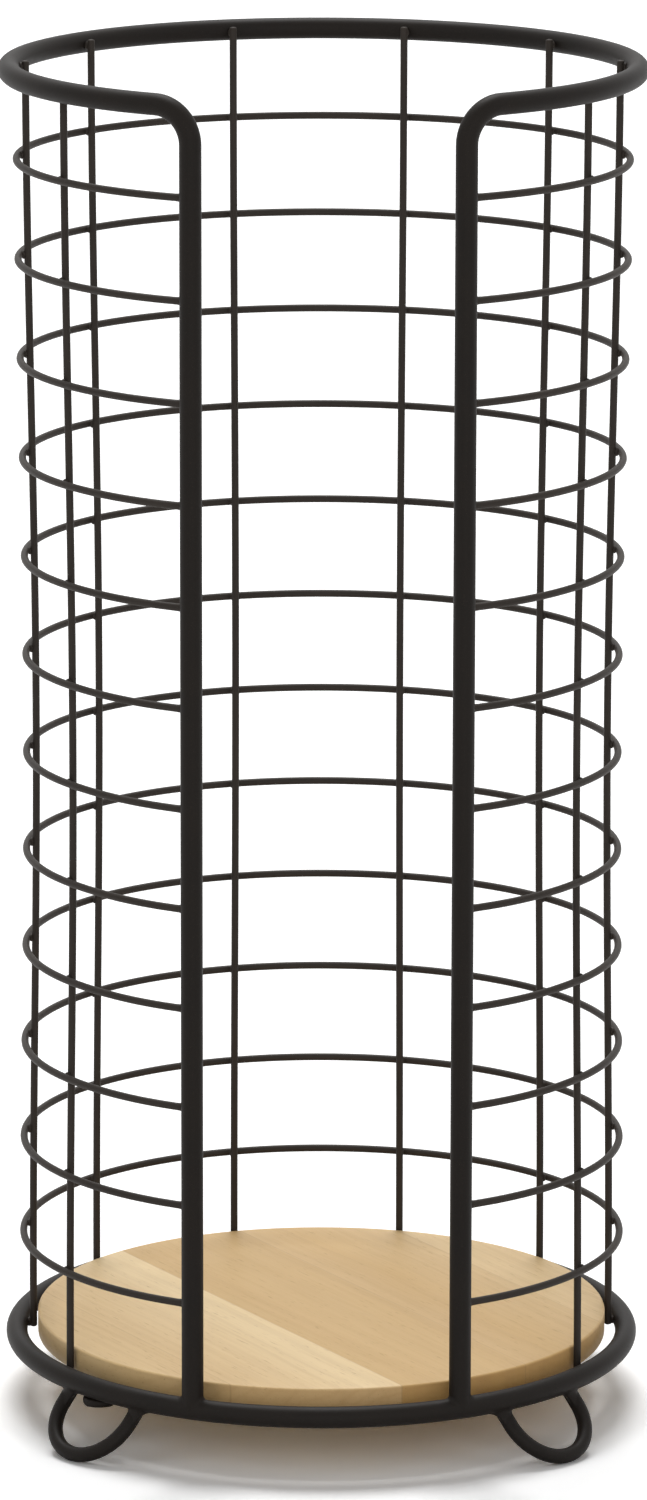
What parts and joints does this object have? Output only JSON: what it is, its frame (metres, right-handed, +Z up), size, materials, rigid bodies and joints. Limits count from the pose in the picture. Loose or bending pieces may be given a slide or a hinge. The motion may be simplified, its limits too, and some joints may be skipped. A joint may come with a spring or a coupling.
{
  "type": "freestanding toilet paper holder",
  "caption": "Freestanding bathroom holder for spare toilet rolls: an open-fronted round cage of dark coated wire on looped wire feet, with a wood disc as its floor.",
  "frame": {"origin": "on the surface that the feet stand on, under the centre of the round cage, which is the bottom centre of the bounding box", "axes": "+Z up; -Y towards the open front; +X to the right of someone facing the open front"},
  "size_m": [0.1552, 0.1552, 0.3304],
  "materials": {
    "frame_coating": "dark bronze powder coat, satin",
    "disc_wood": "light glued staves, matte lacquer",
    "screw_steel": "zinc plated"
  },
  "bodies": {
    "root": {"main_frame_wire": "frame_coating", "base_ring": "frame_coating", "hoop_wire_01": "frame_coating", "hoop_wire_02": "frame_coating", "hoop_wire_03": "frame_coating", "hoop_wire_04": "frame_coating", "hoop_wire_05": "frame_coating", "hoop_wire_06": "frame_coating", "hoop_wire_07": "frame_coating", "hoop_wire_08": "frame_coating", "hoop_wire_09": "frame_coating", "hoop_wire_10": "frame_coating", "hoop_wire_11": "frame_coating", "hoop_wire_12": "frame_coating", "vertical_rod_1": "frame_coating", "vertical_rod_2": "frame_coating", "vertical_rod_3": "frame_coating", "vertical_rod_4": "frame_coating", "vertical_rod_5": "frame_coating", "vertical_rod_6": "frame_coating", "vertical_rod_7": "frame_coating", "vertical_rod_8": "frame_coating", "looped_foot_front_left": "frame_coating", "looped_foot_front_right": "frame_coating", "looped_foot_rear_right": "frame_coating", "looped_foot_rear_left": "frame_coating", "wood_base_disc": "disc_wood", "disc_tab_front_left": "frame_coating", "disc_tab_rear_right": "frame_coating", "disc_screw_front_left": "screw_steel", "disc_screw_rear_right": "screw_steel"}
  },
  "joints": []
}
